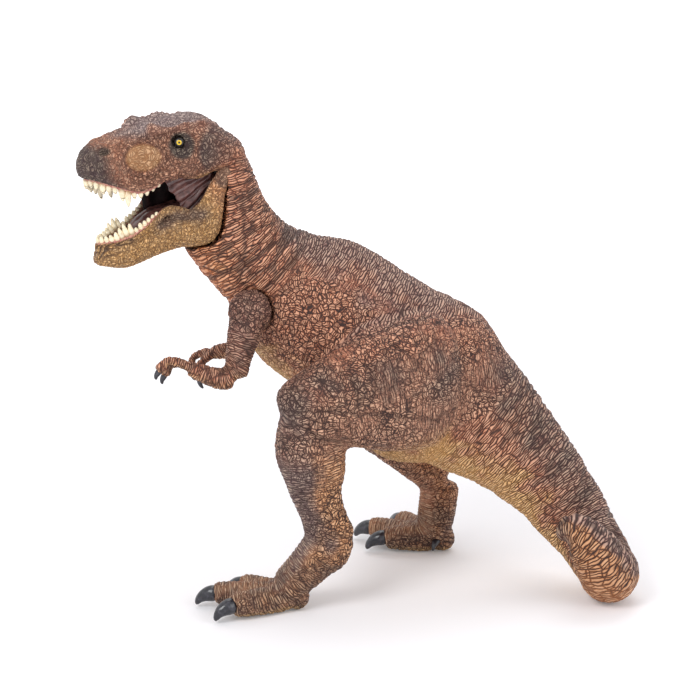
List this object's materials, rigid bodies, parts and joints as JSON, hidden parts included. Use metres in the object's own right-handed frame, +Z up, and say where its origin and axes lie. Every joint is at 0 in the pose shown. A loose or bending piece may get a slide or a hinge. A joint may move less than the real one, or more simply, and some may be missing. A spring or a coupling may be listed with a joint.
{
  "type": "toy dinosaur figure",
  "caption": "Standing two-legged meat-eating dinosaur toy with an opening jaw, turning arms and a tail that curls round to the floor as a third support.",
  "frame": {"origin": "on the floor, under the middle of the figure's bounding box", "axes": "+Z up, the trunk lies along X with the head towards -X, the animal's left side faces -Y"},
  "size_m": [0.1966, 0.1024, 0.1725],
  "materials": {
    "skin": "painted, deep wrinkle relief",
    "claw": "satin blue-black",
    "tooth": "satin ivory",
    "mouth": "satin",
    "eye": "gloss",
    "steel": "plain"
  },
  "bodies": {
    "figure": {"torso": "skin", "tail": "skin", "left_leg": "skin", "left_inner_toe_claw": "claw", "left_middle_toe_claw": "claw", "left_outer_toe_claw": "claw", "left_dewclaw": "claw", "right_leg": "skin", "right_inner_toe_claw": "claw", "right_middle_toe_claw": "claw", "right_outer_toe_claw": "claw", "right_dewclaw": "claw", "head": "skin", "throat": "mouth", "upper_teeth": "tooth", "jaw_pin": "steel", "left_eye": "eye", "right_eye": "eye"},
    "jaw": {"lower_jaw": "skin", "lower_teeth": "tooth", "tongue": "mouth"},
    "left_arm_body": {"left_arm": "skin", "left_outer_finger_claw": "claw", "left_inner_finger_claw": "claw"},
    "right_arm_body": {"right_arm": "skin", "right_outer_finger_claw": "claw", "right_inner_finger_claw": "claw"}
  },
  "joints": [
    {"name": "jaw_hinge", "type": "hinge", "parent": "figure", "child": "jaw", "pos_m": [-0.05438, -0.00884, 0.1533], "axis": [0.454, -0.891, 0], "range_deg": [-15, 2]},
    {"name": "left_shoulder", "type": "hinge", "parent": "figure", "child": "left_arm_body", "pos_m": [-0.03953, -0.0174, 0.10425], "axis": [0, 1, 0], "range_deg": [-20, 40]},
    {"name": "right_shoulder", "type": "hinge", "parent": "figure", "child": "right_arm_body", "pos_m": [-0.03953, 0.01172, 0.10425], "axis": [0, 1, 0], "range_deg": [-20, 40]}
  ]
}
